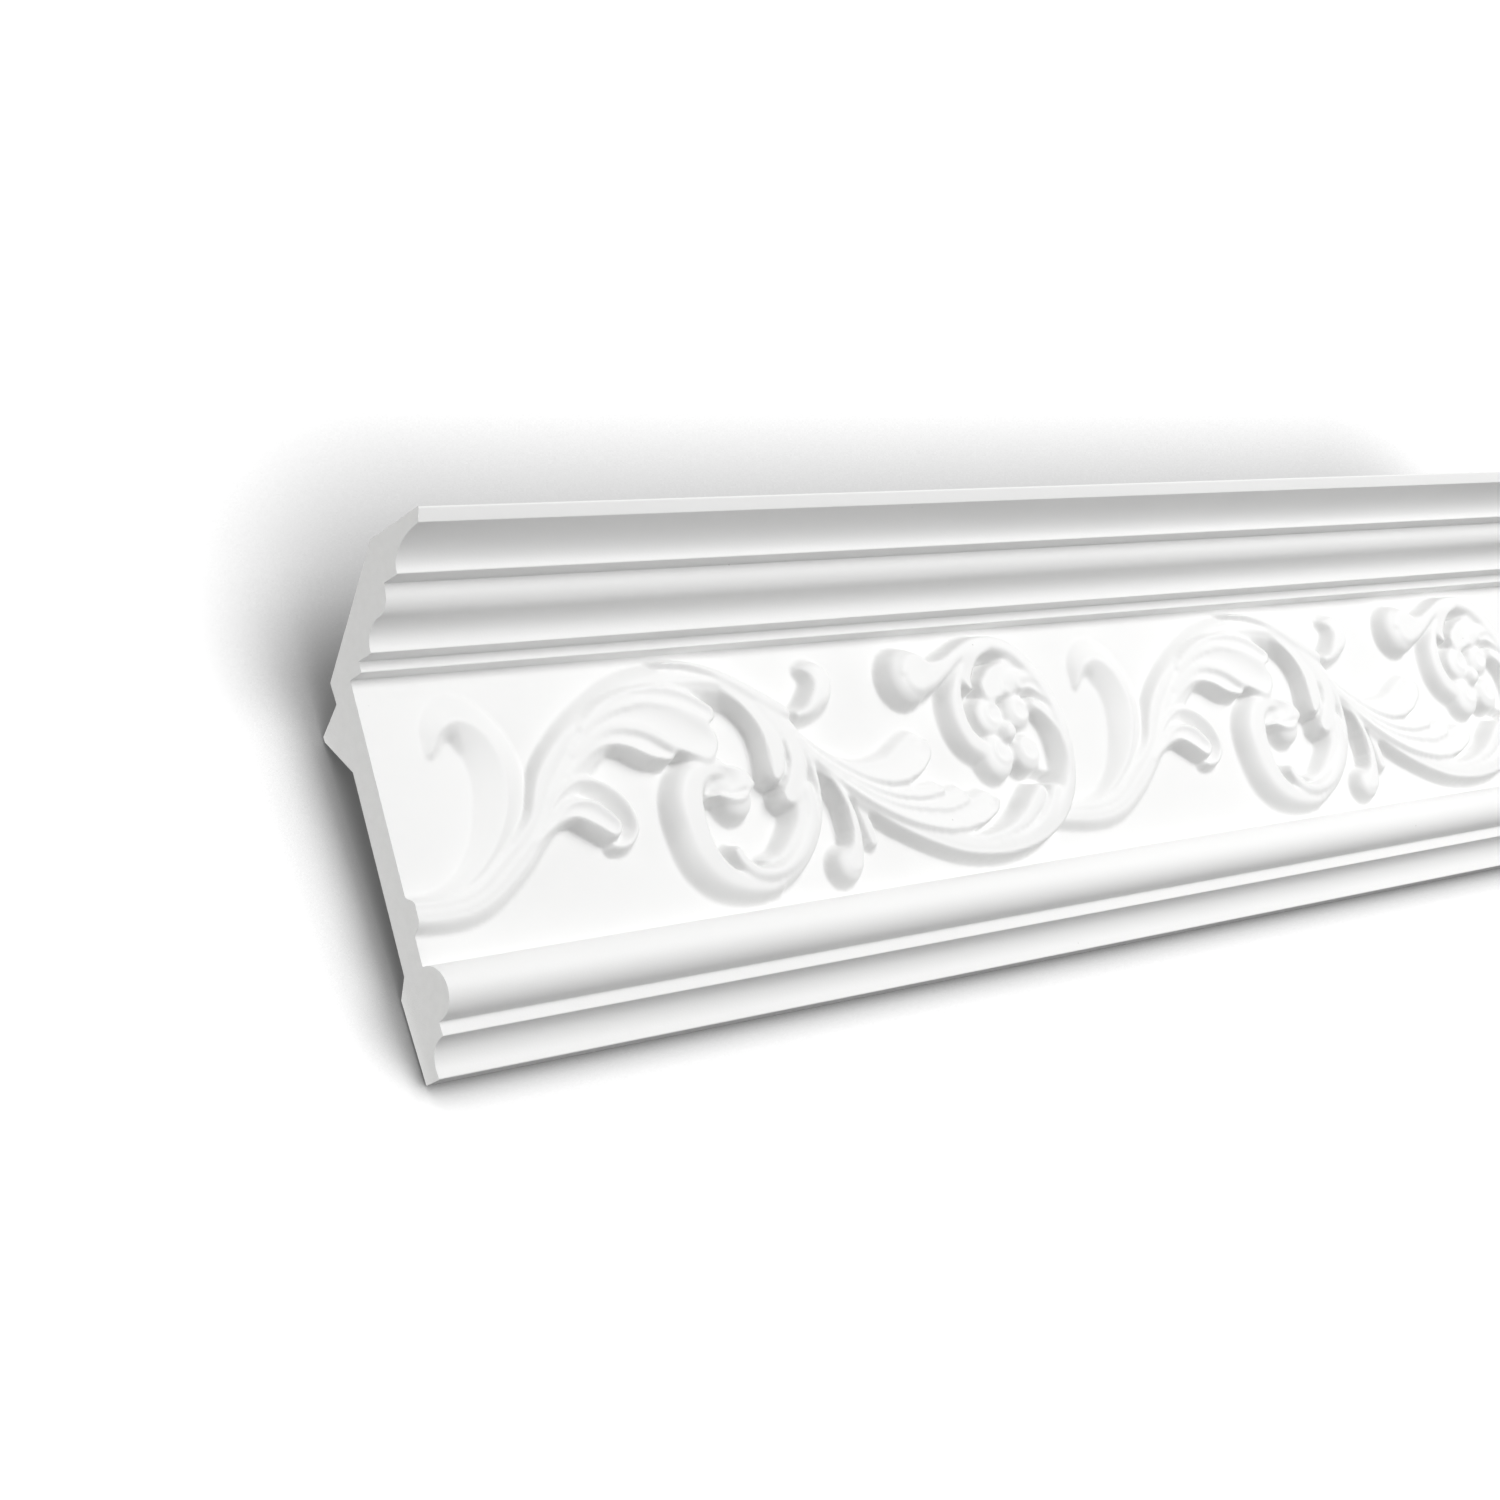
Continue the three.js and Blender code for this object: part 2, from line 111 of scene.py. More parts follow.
# %% Quarter curves and soft corners
def quarter(start, reach, drop, hollow, steps=12):
    """Quarter ellipse that goes in towards the wall by reach and down by drop.

    A hollow quarter starts level and ends upright, so y = sin and z = cos - 1 of the angle.
    A swelling quarter starts upright and ends level, so y = 1 - cos and z = -sin.
    """
    angle = np.linspace(0, math.pi / 2, steps + 1)[1:]
    if hollow:
        shape = np.stack([np.sin(angle), np.cos(angle) - 1], axis=1)
    else:
        shape = np.stack([1 - np.cos(angle), -np.sin(angle)], axis=1)
    return np.asarray(start) + shape * (reach, drop)


def softened(points, radius=0.5, least_turn=25.0, most_of_side=0.4, steps=3):
    """Replaces each corner that turns by least_turn degrees or more with an arc.

    The arc is a parabola tangent to both sides. It starts radius * tan(turn / 2) before the
    corner, and no further than most_of_side times the length of a side.
    """
    points = np.asarray(points, float)
    out = [points[:1]]
    for before, corner, after in zip(points[:-2], points[1:-1], points[2:]):
        a, b = before - corner, after - corner
        long_a, long_b = np.hypot(*a), np.hypot(*b)
        a, b = a / long_a, b / long_b
        turn = math.pi - math.acos(np.clip(a @ b, -1, 1))
        if turn < math.radians(least_turn):
            out.append(corner[None])
            continue
        back_off = min(radius * math.tan(turn / 2), most_of_side * min(long_a, long_b))
        share = np.linspace(0, 1, steps + 1)[:, None]
        start, end = corner + a * back_off, corner + b * back_off
        out.append((1 - share) ** 2 * start + 2 * share * (1 - share) * corner + share ** 2 * end)
    out.append(points[-1:])
    return np.concatenate(out)


print("a softened square corner", softened([(0, 5), (0, 0), (5, 0)]).round(2).tolist())

# %% [markdown]
# ## The section
#
# The walk starts at the foot of the frieze, whose height follows from the sizes below it, and
# finds the corners above one after the other. The frieze itself is left out of both rows of
# points, because it gets a fine grid of its own.

# %% The section
def behind_frieze(foot, height):
    """Point of the hollow back: the line from the frieze's foot, moved in by the shell.

    y = foot's y - lean * (height - foot's height) / drop + shell.
    """
    return foot[0] - FRIEZE_LEAN * (height - foot[1]) / FRIEZE_DROP + SHELL, height


def profile():
    """Walks the section and returns (above the frieze, below and behind it, head, foot).

    The head and the foot are the two ends of the frieze.
    """
    bottom = -STRIP_HEIGHT / 2
    foot_height = bottom + 2 * BEAD_RADIUS + BEAD_FILLET + FOOT_DROP + FOOT_NOSE
    foot = np.array([-FOOT_THICKNESS - FOOT_REACH, foot_height])
    head = foot + (-FRIEZE_LEAN, FRIEZE_DROP)
    ogee_foot = head + (-FRIEZE_STEP, FILLET_DROP)
    reach_above = OGEE_STEP + OGEE_REACH + OVOLO_REACH + COVE_STEP + COVE_REACH
    cove_start = ogee_foot + (-reach_above, OGEE_DROP + OVOLO_DROP + COVE_DROP)
    lip = cove_start + (-LIP_LEAN, LIP_DROP)
    ceiling_edge = lip + (CEILING_FACE, 0)
    cove = quarter(cove_start, COVE_REACH, COVE_DROP, hollow=True)
    ovolo_start = cove[-1] + (COVE_STEP, 0)
    ovolo = quarter(ovolo_start, OVOLO_REACH, OVOLO_DROP, hollow=False)
    ogee = quarter(ovolo[-1], OGEE_REACH, OGEE_DROP, hollow=True)
    upper = np.vstack([ceiling_edge, lip, cove_start, cove, ovolo_start, ovolo, ogee, ogee_foot,
                       head + (-FRIEZE_STEP, 0), head, foot])
    around = np.linspace(math.pi / 2, 1.5 * math.pi, 25)
    bead_centre = foot + (0, -BEAD_RADIUS)
    bead = bead_centre + BEAD_RADIUS * np.stack([np.cos(around), np.sin(around)], axis=1)
    cavetto_start = bead[-1] + (0, -BEAD_FILLET)
    cavetto = quarter(cavetto_start, FOOT_REACH, FOOT_DROP, hollow=True)
    strip_top = bottom + STRIP_HEIGHT
    heel_top = cove_start[1] - HEEL_DROP
    notch_foot = heel_top + NOTCH_RISE
    lower = np.vstack([head, bead, cavetto_start, cavetto, cavetto[-1] + (0, -FOOT_NOSE),
                       (0, bottom), (0, strip_top), behind_frieze(foot, strip_top + HOLLOW_RISE),
                       behind_frieze(foot, heel_top - HEEL_HEIGHT - HEEL_RISE),
                       (0, heel_top - HEEL_HEIGHT), (0, heel_top), (-NOTCH_DEPTH, notch_foot),
                       (-NOTCH_DEPTH, notch_foot + NOTCH_HEIGHT), ceiling_edge])
    return softened(upper)[:-1], softened(lower)[1:-1], head, foot


upper, lower, head, foot = profile()
print("profile points", len(upper) + len(lower))
print("ceiling at", upper[0, 1].round(2), "mm, reach", -upper[:, 0].min().round(2), "mm")

# %% [markdown]
# ## Curves of the carving
#
# The spine of a leaf is a smooth curve through a few stations. A Catmull-Rom curve passes
# through every one of them, so the stations can be read off the photograph as they are. The
# half width and the height run through the same curve as the place.

# %% Smooth rows and a ramp
def smooth_rows(rows, per_span=10):
    """Catmull-Rom curve through the rows, all columns at once.

    Between the rows b and c, with a before and d after them, it is half of
    2b + (c - a) u + (2a - 5b + 4c - d) u^2 + (3b - a - 3c + d) u^3, u going from 0 to 1.
    """
    rows = np.asarray(rows, float)
    knots = np.vstack([2 * rows[0] - rows[1], rows, 2 * rows[-1] - rows[-2]])
    t = np.linspace(0, len(rows) - 1, per_span * (len(rows) - 1) + 1)
    i = np.minimum(t.astype(int), len(rows) - 2)
    u = (t - i)[:, None]
    a, b, c, d = knots[i], knots[i + 1], knots[i + 2], knots[i + 3]
    square, cube = 2 * a - 5 * b + 4 * c - d, 3 * b - a - 3 * c + d
    return 0.5 * (2 * b + (c - a) * u + square * u ** 2 + cube * u ** 3)


def ramp(low, high, x):
    """0 below low, 1 above high, and 3q^2 - 2q^3 between them."""
    q = np.clip((x - low) / (high - low), 0, 1)
    return q * q * (3 - 2 * q)


print("a ramp at each quarter", ramp(0, 1, np.linspace(0, 1, 5)).round(3))

# %% [markdown]
# ## How a leaf is carved
#
# The carving is a height above the frieze, so a leaf is written as a height too. Where leaves
# overlap, the higher one wins, as it does when a carver lays one over the other. Most leaves
# have steep sides and a flat or dished top, and two rise to a ridge.

# %% One leaf
THINNEST = 0.3
SIDE_POWER, LEAST_SIDE, MOST_SIDE = 0.8, 0.1, 0.95
DISH_WIDTH, DISH_START, DISH_FULL = 0.75, 0.15, 0.7
VEIN_FADE = 0.15


def leaf_height(along, down, rows, run=(0.6, 0.6), dish=0.0, tilt=0.0, crest=None,
                flanks=(0.8, 0.8), veins=()):
    """Height of one leaf over a grid of points.

    v is the distance from the spine in half widths, negative on the left of the growth.
    A half width counts as THINNEST at least.
    A rounded leaf rises as sin(90 degrees * (1 - |v|) / r) ^ SIDE_POWER to its top, where r
    is run * height / half width, kept between LEAST_SIDE and MOST_SIDE. There is one run for
    the left side and one for the right, and a fifth number in the rows is the left run at
    that station. A dish takes off dish * (1 - (v / DISH_WIDTH)^2), growing between the shares
    DISH_START and DISH_FULL of the way to the tip. A tilt raises the top by tilt * v, so that
    the right edge stands over the next leaf.
    A ridged leaf, which has a crest, rises in a line to v = crest and is raised to the power
    in flanks on each side. A vein is (v, width, depth): a groove along the leaf, which takes
    off depth * exp(-((v - its v) / width)^2) and fades out in the last VEIN_FADE of the way.
    """
    line = smooth_rows(rows)
    reach = line[:, 2].max() + 1
    low_a, low_d = line[:, :2].min(axis=0) - reach
    high_a, high_d = line[:, :2].max(axis=0) + reach
    cols = slice(*np.searchsorted(along[0], (low_a, high_a)))
    lines = slice(*np.searchsorted(down[:, 0], (low_d, high_d)))
    out = np.zeros(along.shape)
    a, d = along[lines, cols], down[lines, cols]
    if a.size == 0:
        return out
    nearest, which = np.full(a.shape, np.inf), np.zeros(a.shape, int)
    for step, (centre_a, centre_d, wide) in enumerate(line[:, :3]):
        away = np.hypot(a - centre_a, d - centre_d) / max(wide, THINNEST)
        closer = away < nearest
        nearest[closer], which[closer] = away[closer], step
    tangent = np.gradient(line[:, :2], axis=0)
    turn = tangent[which, 0] * (d - line[which, 1]) - tangent[which, 1] * (a - line[which, 0])
    v = np.sign(turn) * nearest
    wide, high = line[which, 2], line[which, 3]
    grown = which / (len(line) - 1)
    if crest is None:
        left_run = line[which, 4] if line.shape[1] > 4 else run[0]
        side = np.where(v < 0, left_run, run[1]) * high / wide
        risen = np.clip(1 - nearest, 0, 1) / np.clip(side, LEAST_SIDE, MOST_SIDE)
        edge = np.sin(np.pi / 2 * np.clip(risen, 0, 1)) ** SIDE_POWER
        hollow = dish * np.clip(1 - (v / DISH_WIDTH) ** 2, 0, 1)
        shape = edge * (1 - hollow * ramp(DISH_START, DISH_FULL, grown)) * (1 + tilt * v)
    else:
        rise = np.where(v < crest, (v + 1) / (1 + crest), (1 - v) / (1 - crest))
        shape = np.clip(rise, 0, 1) ** np.where(v < crest, flanks[0], flanks[1])
    for place, width, depth in veins:
        groove = depth * np.exp(-((v - place) / width) ** 2)
        shape = shape * (1 - groove * ramp(0, VEIN_FADE, 1 - grown))
    out[lines, cols] = high * shape
    return out


sample_along, sample_down = np.meshgrid(np.linspace(0, 20, 41), np.linspace(-5, 5, 21))
sample = leaf_height(sample_along, sample_down, [(0, 0, 2, 3), (10, 0, 4, 5), (20, 0, 2, 3)])
print("a sample leaf across its middle", sample[::2, 20].round(1))

# %% [markdown]
# ## How a round shape is carved
#
# A berry or a petal stands up from the frieze with a steep side and an almost flat top, which
# a half ball doesn't have. So its height has one more number, which says how full it is.

# %% One dome
def radii_away(along, down, centre, radius):
    """Distance from the centre, counted in radii."""
    return np.hypot(along - centre[0], down - centre[1]) / radius


def dome_height(along, down, centre, radius, high, full):
    """Flattened dome: high * sqrt(1 - r^full), r being the distance from the centre in radii.

    A half ball has full = 2. More of it gives a flatter top and a steeper side.
    """
    r = radii_away(along, down, centre, radius)
    return high * np.sqrt(np.clip(1 - r ** full, 0, None))


for full in (2, 6):
    height = dome_height(0.8, 0.0, (0, 0), 1.0, 1.0, full)
    print("a dome with full =", full, "keeps", round(float(height), 2), "at 0.8 of its radius")

# %% [markdown]
# ## The scroll
#
# One repeat is read off the photograph station by station: along the wall, down the frieze,
# half width, height, and in some leaves the left run, all but the last in millimetres. A stem
# rises in an S, turns over into a volute, and throws off leaves. A second stem runs on from it
# and curls into a ring round a flower.

# %% The leaves of one repeat
LEAVES = {
    "stem": dict(run=(0.5, 0.9), veins=[(-0.3, 0.07, 0.1), (0.25, 0.07, 0.1), (0.6, 0.06, 0.1)], rows=[
        (-8, 67, 4.8, 3.4, 0.5), (10, 68.6, 5.2, 3.6, 0.5), (24, 66.5, 5.6, 3.8, 0.5),
        (38, 58.5, 6.2, 4, 0.3), (50.8, 48.9, 5.8, 4, 0.2), (60.5, 37.6, 8.8, 4.2, 0.25),
        (71, 28, 9.2, 4.5, 0.6), (83, 20, 9, 5, 1.3), (97, 13.6, 8.8, 5.6, 1.5),
        (111, 10.6, 7.8, 6.4, 1.2), (125, 11, 6.8, 7.2, 0.9), (137, 14.2, 6, 7.7, 0.6),
        (147.5, 20.2, 5.6, 7.9, 0.5), (155.4, 27.6, 5, 8, 0.4), (160.2, 36.2, 4.2, 8, 0.3),
        (162, 45.2, 3.2, 7.7, 0.3), (160.8, 54.2, 3.2, 7.3, 0.3), (156, 63.2, 3.6, 6.6, 0.4),
        (148, 70.2, 4, 5.9, 0.5), (138, 74.8, 3.8, 5.2, 0.5)]),
    "hook_leaf": dict(crest=-0.05, flanks=(0.85, 0.75), rows=[
        (-8, 64.5, 2, 2.8), (8, 64.9, 2.4, 3.2), (20, 61.7, 3.4, 3.6), (31.5, 53.8, 6, 4.3),
        (39.4, 43.2, 8.6, 4.9), (42.8, 31.2, 9.6, 5), (39.5, 20.6, 8.8, 4.8), (32, 14.8, 8, 4.4),
        (25, 16.6, 5.4, 3.6), (20.6, 23.2, 1.6, 1.8)]),
    "bud_outer": dict(crest=-0.6, flanks=(0.4, 0.9), rows=[
        (48.3, 52.5, 1.6, 4.2), (55.5, 46.2, 2.6, 5), (61.5, 41.3, 3.6, 5.6), (68.7, 38.6, 4, 5.8),
        (76.4, 40.3, 4, 5.6), (82.5, 45.3, 4.2, 5.4), (84.9, 51.2, 4, 5), (82, 55.2, 3.4, 4.9),
        (78.1, 56.2, 2.6, 4.8)]),
    "bud_inner": dict(run=(0.15, 0.15), dish=0.22, rows=[
        (48.3, 53, 1.2, 4.2), (53.5, 49.6, 1.8, 5), (59.1, 46.4, 2.8, 5.8), (65, 45.1, 3.8, 6.3),
        (71, 47.1, 4.8, 6.5), (76.6, 51.3, 4.2, 6.4)]),
    "upper_leaf_one": dict(run=(0.12, 0.12), dish=0.16, rows=[
        (74.8, 21.3, 2, 5.6), (82.2, 17.2, 3, 6.2), (90.4, 14.6, 3.4, 6.9), (99.8, 13.7, 3.6, 7.4),
        (109.4, 14.7, 3.8, 7.7), (117.3, 17.3, 4, 7.7), (124.2, 21.1, 3.8, 7.7)]),
    "upper_leaf_two": dict(run=(0.12, 0.12), dish=0.14, rows=[
        (69.5, 28.2, 2, 4.9), (76.9, 23.3, 3.2, 5.5), (84.2, 20, 4.4, 6.1), (92.6, 19.3, 5.4, 6.7),
        (101.1, 20.8, 6.6, 7.1), (110.2, 24.9, 7.8, 7.3), (119.5, 29.3, 7, 7.3)]),
    "upper_leaf_three": dict(run=(0.15, 0.15), dish=0.2, rows=[
        (65.8, 35.1, 1.6, 4.6), (72.4, 30, 2.2, 5), (78.6, 26, 3.2, 5.8), (85, 24.5, 4.2, 6.3),
        (92, 25.3, 5.2, 6.7), (98.9, 28.2, 5.8, 6.9), (104.4, 30.6, 4.6, 6.8)]),
    "outer_finger": dict(run=(0.4, 0.12), rows=[
        (111.3, 4, 1.4, 6.8), (120.6, 4.9, 2, 7.4), (130, 7.8, 2.6, 7.9), (138.4, 11.9, 3, 8.3),
        (147.2, 16.9, 3.4, 8.4), (156.5, 22.3, 3.4, 8.4)]),
    "top_curl": dict(run=(0.35, 0.75), rows=[
        (162, 24.4, 3, 7.4), (167.6, 23.6, 3.4, 6.8), (173.4, 20.8, 4.8, 6.4), (178.4, 16.8, 6, 5.8),
        (179.6, 12.6, 5.8, 5.2), (177, 9.8, 4, 4.6), (173.4, 9, 1.8, 3.4)]),
    "inner_finger_one": dict(run=(0.2, 0.1), rows=[
        (132.8, 14.1, 1.8, 7.4), (137.6, 16.7, 3, 7.6), (142.6, 21.1, 3.8, 7.7),
        (146.3, 26.8, 4.4, 7.8), (147.9, 32.8, 4.8, 7.8), (147.5, 39.2, 4.4, 7.8),
        (146.1, 42.7, 3.2, 7.6)]),
    "inner_finger_two": dict(run=(0.2, 0.12), rows=[
        (145.7, 19.8, 2, 8), (151.6, 25.8, 3, 8), (155.5, 32.8, 4, 8), (156, 39.8, 4.6, 7.9),
        (153.6, 45.7, 5, 7.6), (149.9, 49.2, 4.4, 7.2)]),
    "volute_arm": dict(run=(0.8, 0.15), rows=[
        (139, 76.2, 2.6, 4.8, 1), (132, 76.4, 3.4, 5, 1.2), (123, 74.7, 4.6, 5.4, 1.4),
        (114.8, 70.7, 5.8, 5.8, 1.5), (109.4, 64.2, 6.6, 6.2, 1.3), (107.4, 55.2, 6.8, 6.4, 1),
        (108, 46.6, 6.8, 6.5, 0.8), (111.8, 40, 5.8, 6.5, 0.7), (117.4, 37.2, 4.6, 6.5, 0.6),
        (124, 37.2, 4.2, 6.5, 0.5)]),
    "eye_lobe": dict(run=(0.3, 0.2), dish=0.3, rows=[
        (134, 44.3, 3.2, 7.4), (129.8, 42.3, 5, 7.5), (124.3, 41.6, 5.6, 7), (120.4, 43.3, 4.2, 5.6),
        (118, 45.9, 1.8, 3.6)]),
    "eye_rim": dict(run=(0.25, 0.2), rows=[
        (116.8, 47.4, 0.9, 4), (118.4, 46.4, 1.4, 6), (121, 46.6, 1.6, 7.4), (124.5, 48, 1.7, 8),
        (128.5, 48.6, 1.7, 8.2), (132.3, 46.8, 1.5, 8.1), (134.6, 43.8, 1.2, 7.8)]),
    "bowl_finger": dict(run=(0.25, 0.2), rows=[
        (157.9, 47.8, 3.2, 8), (157, 56.7, 3.4, 7.6), (152.5, 63.6, 3.4, 7.1), (145.9, 69, 3.2, 6.8),
        (138.3, 71.9, 2.8, 6.5), (130.6, 71.5, 2.8, 6.3), (125.1, 68, 3, 6.2), (122.9, 64.2, 3, 6.1)]),
    "bowl_leaf": dict(run=(0.35, 0.5), rows=[
        (154.4, 50.6, 4.6, 7.2), (152.5, 58.5, 5.2, 6.6), (147.5, 64, 4.8, 5.8), (141, 67.6, 3.2, 4.8),
        (134.7, 67.8, 1.8, 3.8)]),
    "drop_leaf": dict(run=(0.25, 0.08), rows=[
        (167.2, 37.8, 1.6, 6), (171.4, 45.4, 2.2, 6.1), (174.8, 53, 2.5, 6.1), (175.8, 60.4, 2.8, 6.1),
        (174.4, 67.4, 3.4, 6.1), (171.8, 72.4, 4.4, 6.1)]),
    "thorn_leaf": dict(run=(0.25, 0.08), rows=[
        (173.2, 41.7, 1.2, 4.4), (177, 47, 1.5, 4.2), (180.6, 53.6, 2.1, 3.8), (183.5, 60.3, 2.8, 3.4),
        (184.9, 66.2, 2.8, 3)]),
    "fan_leaf_one": dict(run=(0.5, 0.1), dish=0.1, tilt=0.2, rows=[
        (157.9, 28.7, 2, 7.6), (167.3, 34.4, 2, 6.2), (178.1, 40.1, 2.6, 5.4), (189.5, 43.8, 4, 5),
        (200.5, 44.4, 6, 4.9), (209.2, 41.9, 7.4, 4.7), (214.7, 39.1, 7, 4.3)]),
    "fan_leaf_two": dict(run=(0.4, 0.1), dish=0.1, tilt=0.32, rows=[
        (160.3, 32, 2, 7.2), (169.7, 38.4, 2, 5.8), (182.4, 45.4, 2.2, 5.1), (194.6, 50, 2.8, 4.8),
        (206.8, 52.3, 3.2, 4.6), (220.1, 52.4, 3, 4.2)]),
    "fan_leaf_three": dict(run=(0.4, 0.1), dish=0.1, tilt=0.32, rows=[
        (161.5, 34.6, 2, 7), (170.9, 40.7, 2, 5.6), (184.5, 48.8, 2.2, 5), (197.7, 54.1, 2.8, 4.7),
        (210.7, 56.5, 3.2, 4.6), (221.9, 56.7, 4, 4.4), (229.8, 55.6, 3.8, 4.1)]),
    "fan_leaf_four": dict(run=(0.4, 0.1), dish=0.1, tilt=0.26, rows=[
        (162.7, 37, 2, 6.8), (171.7, 43, 2, 5.8), (183.6, 51.6, 2.4, 5.8), (195.6, 57.7, 3, 5.7),
        (207.6, 61.5, 3.8, 5.6), (220.6, 63.1, 5, 5.5), (233.1, 62, 6, 5), (241.5, 59.7, 5.4, 4.6)]),
    "ring_stem": dict(run=(0.5, 0.2), veins=[(0.45, 0.08, 0.06)], rows=[
        (163, 38.6, 2.6, 6.4), (172, 45.2, 3.2, 5.4), (184, 52.8, 3.8, 5), (197, 60.2, 4.5, 4.9),
        (210.6, 66.6, 4.9, 5), (225, 71.8, 5, 5.4), (240, 74, 5, 6), (252, 73.6, 5, 6.6),
        (262, 71.2, 5.2, 7.4), (271, 66.4, 5.4, 8.4), (277.2, 59.2, 5.3, 9.6), (280.6, 50.2, 5, 10.6),
        (281, 41.2, 4.8, 11.2), (280.6, 33.6, 4.8, 11), (278.4, 25.6, 4.8, 10.4), (274.4, 18, 4.8, 9.8),
        (268.4, 11.2, 4.8, 9), (261, 8, 4.5, 8.2), (252, 7.8, 4.3, 7.6), (243, 10.8, 4.2, 7.4),
        (235, 14.4, 4.8, 7.3), (227.6, 16.2, 6.4, 7.5), (221, 15.6, 8.8, 8)]),
    "ring_crescent": dict(run=(0.35, 0.7), rows=[
        (246, 12.6, 3, 6.8), (241.4, 17.2, 3.8, 6.4), (238, 24.2, 4.8, 6), (237.8, 32.2, 5, 5.8),
        (240.8, 38.6, 5, 5.6), (246, 42.6, 4.8, 5.4)]),
    "hood_leaf_one": dict(run=(0.12, 0.15), dish=0.1, rows=[
        (258.3, 8.4, 2.4, 8), (251.6, 10.2, 3.2, 7.8), (247.4, 14, 3.6, 7.2), (245.7, 18.2, 3, 6.8),
        (246.7, 21.3, 2, 6.6)]),
    "hood_leaf_two": dict(run=(0.12, 0.12), rows=[
        (270.6, 14.7, 3.4, 7.6), (265.4, 17.2, 4.8, 7), (260, 19.9, 6.2, 6.6),
        (255.8, 21.9, 5.4, 6.4)]),
    "hood_leaf_three": dict(run=(0.25, 0.2), rows=[
        (275.3, 20.5, 2.4, 9.4), (270.7, 19.8, 3.4, 8.8), (266.8, 21.2, 4.4, 8),
        (264.2, 23.2, 3.6, 7.2)]),
    "ring_finger_one": dict(run=(0.2, 0.12), dish=0.12, rows=[
        (283.1, 48.5, 1.2, 11.4), (283.3, 40.5, 1.7, 11.4), (280.8, 32.8, 2.4, 11.2),
        (276.8, 26.1, 3.1, 10.6), (272.9, 22.6, 3.4, 9.8), (269.7, 22.6, 3.3, 9)]),
    "ring_finger_two": dict(run=(0.2, 0.12), dish=0.1, rows=[
        (280.1, 53.3, 1.8, 10.6), (280, 45.4, 2.4, 11.2), (278.7, 37.8, 2.7, 11),
        (275.7, 32.3, 3.1, 10.4), (272.7, 29.5, 3, 9.6)]),
    "ring_shelf": dict(run=(0.2, 0.2), rows=[
        (270.6, 30.2, 6, 4.2), (272.6, 40.2, 6, 4.3), (273.4, 48.8, 4.4, 4)]),
    "foot_finger_one": dict(run=(0.35, 0.2), rows=[
        (235, 71, 1.8, 5.9), (246.2, 69.9, 2.8, 6.5), (255.5, 66.6, 3.8, 7), (262.3, 61.7, 4.4, 7.6),
        (265.4, 58.8, 4, 7.8)]),
    "foot_finger_two": dict(run=(0.35, 0.2), rows=[
        (240.6, 73, 2, 6.2), (252.8, 72, 2.6, 6.8), (262.5, 68.6, 3.2, 7.8), (269.2, 63.3, 3.8, 8.4),
        (272, 59.1, 3.8, 8.6)]),
}
print(len(LEAVES), "leaves in a repeat")

# %% [markdown]
# ## Domes, pits and ovals
#
# The eye of the scroll, the knob that ends the ring, and the flower's petals and boss are round
# rather than long. A dome is (centre, radius, height, fullness) and a pit (centre, radius,
# depth). An oval, the raised rim on a petal, is (centre, radius, height).

# %% The round shapes of one repeat
DOMES = [((219, 15.1), 10.4, 7.6, 3.6), ((128.8, 47.8), 7.4, 6.6, 3), ((169.8, 73), 6.6, 5.8, 3.4),
         ((142.5, 28.2), 15, 1.8, 2), ((252.6, 31.2), 7.6, 5.8, 6), ((266.4, 31), 7.2, 6.8, 5),
         ((252.2, 45.2), 8.4, 5.6, 5), ((266.4, 45.2), 7.4, 6.4, 5), ((258.6, 37.4), 4.4, 8.4, 3)]
PITS = [((126.5, 41.4), 3.4, 0.7), ((27.7, 20.8), 2.4, 1.4)]
OVALS = [((254.6, 30.6), 3.4, 0.8), ((267, 30.8), 3.4, 0.8), ((254.6, 43.2), 4, 0.8),
         ((266.8, 43.8), 4, 0.8)]
OVAL_WIDTH = 0.5
print(len(DOMES), "domes,", len(PITS), "pits and", len(OVALS), "ovals in a repeat")

# %% [markdown]
# ## The carved field
#
# All copies that touch the length are laid down, and a small binomial blur gives every
# crease the radius that a rubber mould and a coat of primer leave in it.

# %% Heights of the scroll
def scroll_heights(along, down):
    """Highest leaf or dome over each point, less the pits, over every copy of the repeat.

    A pit takes off deep * exp(-r^2), r being the distance from its centre in radii. An oval
    on a petal is a ridge of height proud * exp(-((r - 1) * radius / OVAL_WIDTH)^2).
    """
    heights = np.zeros(along.shape)
    for shift in REPEAT * np.arange(-1, math.ceil(LENGTH / REPEAT)):
        here = along - shift
        for leaf in LEAVES.values():
            heights = np.maximum(heights, leaf_height(here, down, **leaf))
        for dome in DOMES:
            heights = np.maximum(heights, dome_height(here, down, *dome))
        for centre, radius, deep in PITS:
            r = radii_away(here, down, centre, radius)
            heights = np.maximum(heights - deep * np.exp(-r ** 2), 0)
        for centre, radius, proud in OVALS:
            r = radii_away(here, down, centre, radius)
            heights += proud * np.exp(-((r - 1) * radius / OVAL_WIDTH) ** 2)
    return heights


def blurred(field):
    """Binomial blur: a quarter, a half and a quarter of neighbours, both ways."""
    padded = np.pad(field, 1, mode="edge")
    across = 0.25 * padded[:, :-2] + 0.5 * padded[:, 1:-1] + 0.25 * padded[:, 2:]
    return 0.25 * across[:-2] + 0.5 * across[1:-1] + 0.25 * across[2:]


peak = blurred(np.pad([[1.0]], 2))
print("a lone peak of 1 spreads to", peak[2])

# %% [markdown]
# ## The frieze as a grid
#
# The frieze is a leaning plane, so its points need two axes in the section: one that runs
# down it and one that stands out of it. The heights fade to nothing in the first and last
# 1.5 mm, where the grid meets the plain faces.

# %% The relief as one array of heights
CELL = 0.71
EDGE_FADE = 1.5

